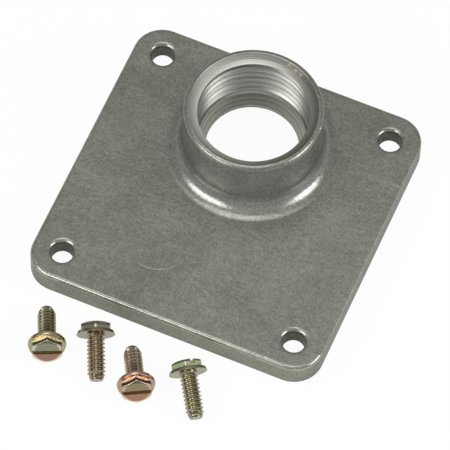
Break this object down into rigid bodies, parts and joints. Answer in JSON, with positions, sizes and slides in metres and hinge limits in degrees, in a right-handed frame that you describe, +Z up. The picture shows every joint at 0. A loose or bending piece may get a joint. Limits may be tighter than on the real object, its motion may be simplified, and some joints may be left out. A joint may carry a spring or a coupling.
{
  "type": "conduit hub",
  "caption": "Square die-cast conduit hub plate with an offset threaded hub, screw holes at the corners and a cored-out underside, with its loose hex washer head screws lying beside it.",
  "frame": {"origin": "centre of the plate on its seating plane, the flat lower edge of the skirt", "axes": "+Z up along the hub's axis, out of its mouth; +Y from the plate's centre towards the offset hub; +X to the right, seen with the hub at the far side"},
  "size_m": [0.0826, 0.1059, 0.0262],
  "materials": {
    "cast_zinc": "burnished die casting, satin, with fine scratches",
    "plated_steel": "yellow zinc plating with a green and copper tint"
  },
  "bodies": {
    "root": {"hub_plate": "cast_zinc", "mounting_screws": "plated_steel"}
  },
  "joints": []
}
